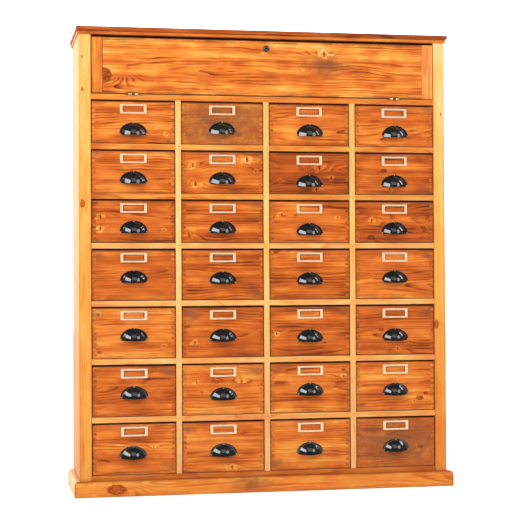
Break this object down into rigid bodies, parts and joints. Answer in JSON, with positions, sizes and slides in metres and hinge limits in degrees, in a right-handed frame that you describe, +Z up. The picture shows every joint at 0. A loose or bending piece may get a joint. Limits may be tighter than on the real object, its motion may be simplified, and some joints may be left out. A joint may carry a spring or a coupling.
{
  "type": "workshop drawer cabinet",
  "caption": "Tall pine workshop cabinet: a grid of comb-jointed drawers with cup pulls and card frames under a bottom-hinged flap compartment, on a mitred plinth.",
  "frame": {"origin": "on the floor, at the middle of the cabinet's whole footprint", "axes": "+X to the cabinet's right as its front is faced, +Y towards its back, +Z up"},
  "size_m": [1.2516, 0.34, 1.5],
  "materials": {
    "carcass_pine": "stained and waxed pine, satin",
    "drawer_pine": "stained and waxed pine, satin, darker than the carcass",
    "flap_pine": "stained and waxed pine, satin",
    "black_iron": "black japanned, glossy",
    "aged_brass": "worn, pale, satin"
  },
  "bodies": {
    "carcass": {"side_panel_left": "carcass_pine", "side_panel_right": "carcass_pine", "side_lining_left": "carcass_pine", "side_lining_right": "carcass_pine", "stile_left": "carcass_pine", "stile_right": "carcass_pine", "base_board": "carcass_pine", "compartment_floor": "carcass_pine", "top_board": "carcass_pine", "back_panel": "carcass_pine", "drawer_shelf_1": "carcass_pine", "drawer_shelf_2": "carcass_pine", "drawer_shelf_3": "carcass_pine", "drawer_shelf_4": "carcass_pine", "drawer_shelf_5": "carcass_pine", "drawer_shelf_6": "carcass_pine", "partition_1": "carcass_pine", "partition_2": "carcass_pine", "partition_3": "carcass_pine", "plinth_front": "carcass_pine", "plinth_left": "carcass_pine", "plinth_right": "carcass_pine", "hinge_carcass_leaf_left": "aged_brass", "hinge_carcass_leaf_right": "aged_brass", "flap_catch": "black_iron"},
    "flap": {"flap_panel": "flap_pine", "flap_cleat_left": "flap_pine", "flap_cleat_right": "flap_pine", "flap_knob": "black_iron", "flap_strike_plate": "aged_brass", "hinge_flap_leaf_left": "aged_brass", "hinge_flap_leaf_right": "aged_brass"},
    "drawer_row1_col1": {"drawer_row1_col1": "drawer_pine"},
    "drawer_row1_col2": {"drawer_row1_col2": "drawer_pine"},
    "drawer_row1_col3": {"drawer_row1_col3": "drawer_pine"},
    "drawer_row1_col4": {"drawer_row1_col4": "drawer_pine"},
    "drawer_row2_col1": {"drawer_row2_col1": "drawer_pine"},
    "drawer_row2_col2": {"drawer_row2_col2": "drawer_pine"},
    "drawer_row2_col3": {"drawer_row2_col3": "drawer_pine"},
    "drawer_row2_col4": {"drawer_row2_col4": "drawer_pine"},
    "drawer_row3_col1": {"drawer_row3_col1": "drawer_pine"},
    "drawer_row3_col2": {"drawer_row3_col2": "drawer_pine"},
    "drawer_row3_col3": {"drawer_row3_col3": "drawer_pine"},
    "drawer_row3_col4": {"drawer_row3_col4": "drawer_pine"},
    "drawer_row4_col1": {"drawer_row4_col1": "drawer_pine"},
    "drawer_row4_col2": {"drawer_row4_col2": "drawer_pine"},
    "drawer_row4_col3": {"drawer_row4_col3": "drawer_pine"},
    "drawer_row4_col4": {"drawer_row4_col4": "drawer_pine"},
    "drawer_row5_col1": {"drawer_row5_col1": "drawer_pine"},
    "drawer_row5_col2": {"drawer_row5_col2": "drawer_pine"},
    "drawer_row5_col3": {"drawer_row5_col3": "drawer_pine"},
    "drawer_row5_col4": {"drawer_row5_col4": "drawer_pine"},
    "drawer_row6_col1": {"drawer_row6_col1": "drawer_pine"},
    "drawer_row6_col2": {"drawer_row6_col2": "drawer_pine"},
    "drawer_row6_col3": {"drawer_row6_col3": "drawer_pine"},
    "drawer_row6_col4": {"drawer_row6_col4": "drawer_pine"},
    "drawer_row7_col1": {"drawer_row7_col1": "drawer_pine"},
    "drawer_row7_col2": {"drawer_row7_col2": "drawer_pine"},
    "drawer_row7_col3": {"drawer_row7_col3": "drawer_pine"},
    "drawer_row7_col4": {"drawer_row7_col4": "drawer_pine"}
  },
  "joints": [
    {"name": "flap_fall", "type": "hinge", "parent": "carcass", "child": "flap", "pos_m": [0, -0.1533, 1.286], "axis": [1, 0, 0], "range_deg": [0, 90]},
    {"name": "slide_row1_col1", "type": "slide", "parent": "carcass", "child": "drawer_row1_col1", "axis": [0, -1, 0], "range_m": [0, 0.25]},
    {"name": "slide_row1_col2", "type": "slide", "parent": "carcass", "child": "drawer_row1_col2", "axis": [0, -1, 0], "range_m": [0, 0.25]},
    {"name": "slide_row1_col3", "type": "slide", "parent": "carcass", "child": "drawer_row1_col3", "axis": [0, -1, 0], "range_m": [0, 0.25]},
    {"name": "slide_row1_col4", "type": "slide", "parent": "carcass", "child": "drawer_row1_col4", "axis": [0, -1, 0], "range_m": [0, 0.25]},
    {"name": "slide_row2_col1", "type": "slide", "parent": "carcass", "child": "drawer_row2_col1", "axis": [0, -1, 0], "range_m": [0, 0.25]},
    {"name": "slide_row2_col2", "type": "slide", "parent": "carcass", "child": "drawer_row2_col2", "axis": [0, -1, 0], "range_m": [0, 0.25]},
    {"name": "slide_row2_col3", "type": "slide", "parent": "carcass", "child": "drawer_row2_col3", "axis": [0, -1, 0], "range_m": [0, 0.25]},
    {"name": "slide_row2_col4", "type": "slide", "parent": "carcass", "child": "drawer_row2_col4", "axis": [0, -1, 0], "range_m": [0, 0.25]},
    {"name": "slide_row3_col1", "type": "slide", "parent": "carcass", "child": "drawer_row3_col1", "axis": [0, -1, 0], "range_m": [0, 0.25]},
    {"name": "slide_row3_col2", "type": "slide", "parent": "carcass", "child": "drawer_row3_col2", "axis": [0, -1, 0], "range_m": [0, 0.25]},
    {"name": "slide_row3_col3", "type": "slide", "parent": "carcass", "child": "drawer_row3_col3", "axis": [0, -1, 0], "range_m": [0, 0.25]},
    {"name": "slide_row3_col4", "type": "slide", "parent": "carcass", "child": "drawer_row3_col4", "axis": [0, -1, 0], "range_m": [0, 0.25]},
    {"name": "slide_row4_col1", "type": "slide", "parent": "carcass", "child": "drawer_row4_col1", "axis": [0, -1, 0], "range_m": [0, 0.25]},
    {"name": "slide_row4_col2", "type": "slide", "parent": "carcass", "child": "drawer_row4_col2", "axis": [0, -1, 0], "range_m": [0, 0.25]},
    {"name": "slide_row4_col3", "type": "slide", "parent": "carcass", "child": "drawer_row4_col3", "axis": [0, -1, 0], "range_m": [0, 0.25]},
    {"name": "slide_row4_col4", "type": "slide", "parent": "carcass", "child": "drawer_row4_col4", "axis": [0, -1, 0], "range_m": [0, 0.25]},
    {"name": "slide_row5_col1", "type": "slide", "parent": "carcass", "child": "drawer_row5_col1", "axis": [0, -1, 0], "range_m": [0, 0.25]},
    {"name": "slide_row5_col2", "type": "slide", "parent": "carcass", "child": "drawer_row5_col2", "axis": [0, -1, 0], "range_m": [0, 0.25]},
    {"name": "slide_row5_col3", "type": "slide", "parent": "carcass", "child": "drawer_row5_col3", "axis": [0, -1, 0], "range_m": [0, 0.25]},
    {"name": "slide_row5_col4", "type": "slide", "parent": "carcass", "child": "drawer_row5_col4", "axis": [0, -1, 0], "range_m": [0, 0.25]},
    {"name": "slide_row6_col1", "type": "slide", "parent": "carcass", "child": "drawer_row6_col1", "axis": [0, -1, 0], "range_m": [0, 0.25]},
    {"name": "slide_row6_col2", "type": "slide", "parent": "carcass", "child": "drawer_row6_col2", "axis": [0, -1, 0], "range_m": [0, 0.25]},
    {"name": "slide_row6_col3", "type": "slide", "parent": "carcass", "child": "drawer_row6_col3", "axis": [0, -1, 0], "range_m": [0, 0.25]},
    {"name": "slide_row6_col4", "type": "slide", "parent": "carcass", "child": "drawer_row6_col4", "axis": [0, -1, 0], "range_m": [0, 0.25]},
    {"name": "slide_row7_col1", "type": "slide", "parent": "carcass", "child": "drawer_row7_col1", "axis": [0, -1, 0], "range_m": [0, 0.25]},
    {"name": "slide_row7_col2", "type": "slide", "parent": "carcass", "child": "drawer_row7_col2", "axis": [0, -1, 0], "range_m": [0, 0.25]},
    {"name": "slide_row7_col3", "type": "slide", "parent": "carcass", "child": "drawer_row7_col3", "axis": [0, -1, 0], "range_m": [0, 0.25]},
    {"name": "slide_row7_col4", "type": "slide", "parent": "carcass", "child": "drawer_row7_col4", "axis": [0, -1, 0], "range_m": [0, 0.25]}
  ]
}
